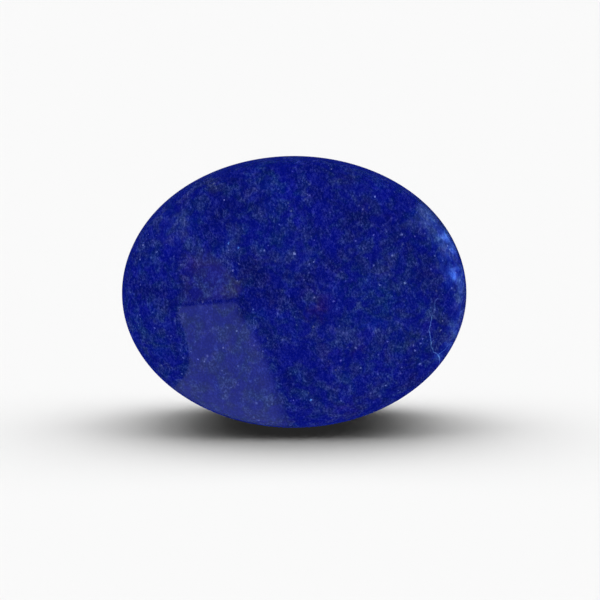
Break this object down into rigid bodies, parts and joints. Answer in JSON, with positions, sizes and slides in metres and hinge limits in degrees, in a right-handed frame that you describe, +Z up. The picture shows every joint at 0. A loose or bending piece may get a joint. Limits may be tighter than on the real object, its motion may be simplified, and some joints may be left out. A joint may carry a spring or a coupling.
{
  "type": "polished lapis lazuli oval stone",
  "caption": "Polished oval palm stone of deep blue lapis lazuli with pale veining and gold flecks, standing on a small flat spot of its rim.",
  "frame": {"origin": "middle of the flat spot on the lower rim, so the stone stands on the plane z = 0", "axes": "+Z up along the short axis of the oval outline, +X along its long axis, and -Y the way the display face looks"},
  "size_m": [0.05, 0.0201, 0.0394],
  "materials": {
    "lapis": "polished"
  },
  "bodies": {
    "root": {"lapis_stone": "lapis"}
  },
  "joints": []
}
